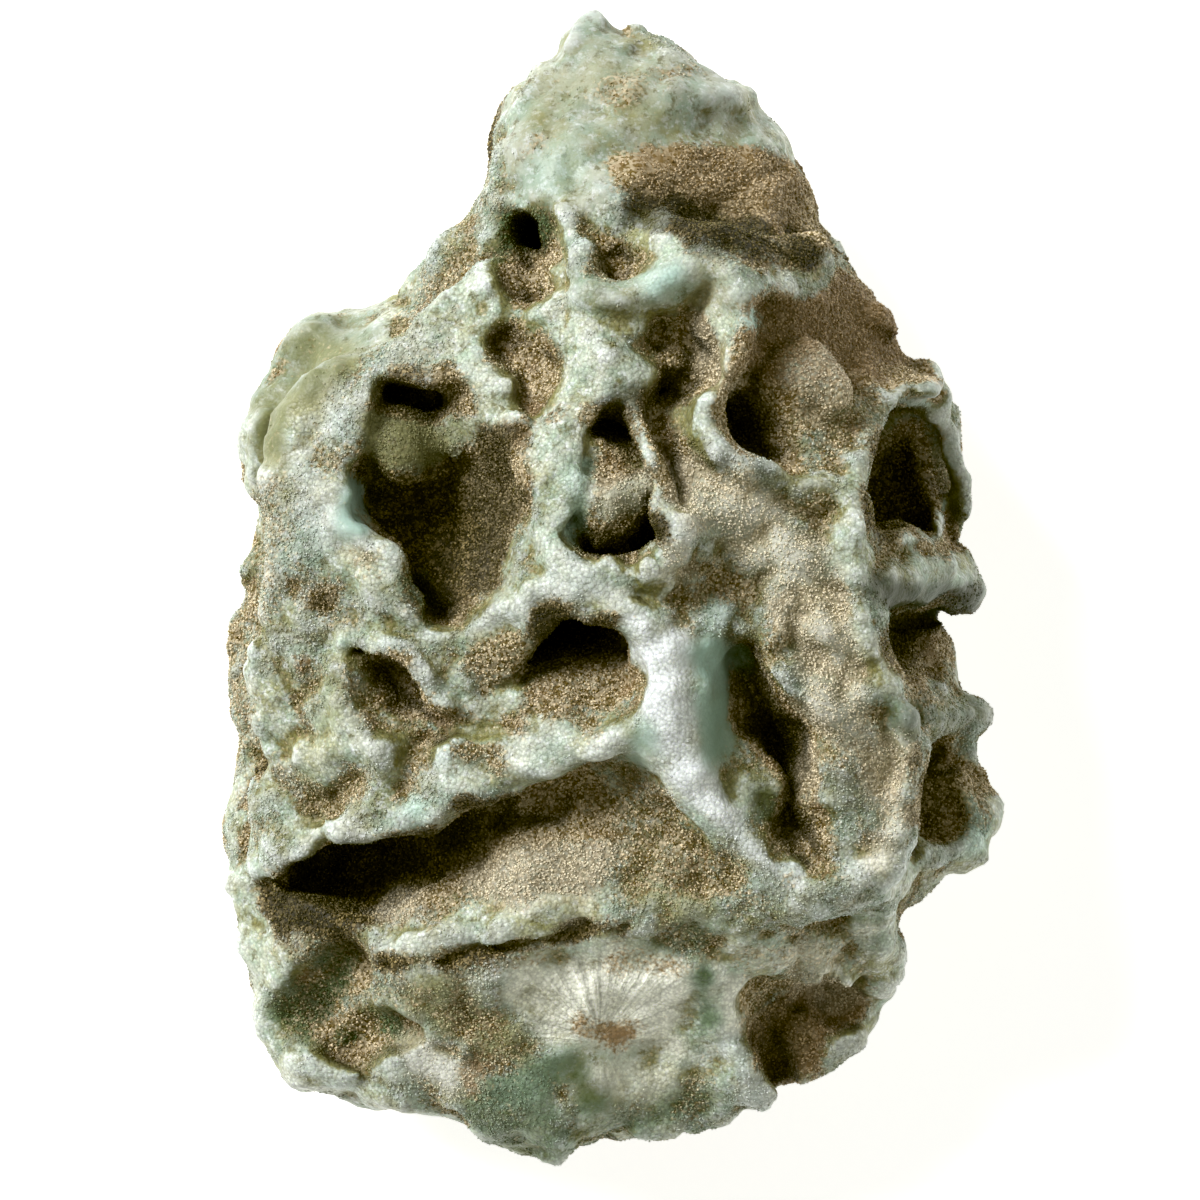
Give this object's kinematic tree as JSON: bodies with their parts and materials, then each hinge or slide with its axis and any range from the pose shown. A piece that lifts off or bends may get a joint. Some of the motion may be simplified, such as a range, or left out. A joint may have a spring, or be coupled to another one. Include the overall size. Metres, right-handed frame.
{
  "type": "raw aragonite",
  "caption": "Hand-sized raw aragonite: one natural pale green crust with sharp-rimmed pits, ridges, side fins and a fan-shaped fracture face, lying flat on its back.",
  "frame": {"origin": "on the flat patch that it lies on, below the centre of its plan outline", "axes": "+Z out of the pitted front, +Y towards the narrow top end, +X towards the side with the fins"},
  "size_m": [0.0692, 0.1002, 0.0381],
  "materials": {
    "aragonite": null
  },
  "bodies": {
    "root": {"aragonite": "aragonite"}
  },
  "joints": []
}
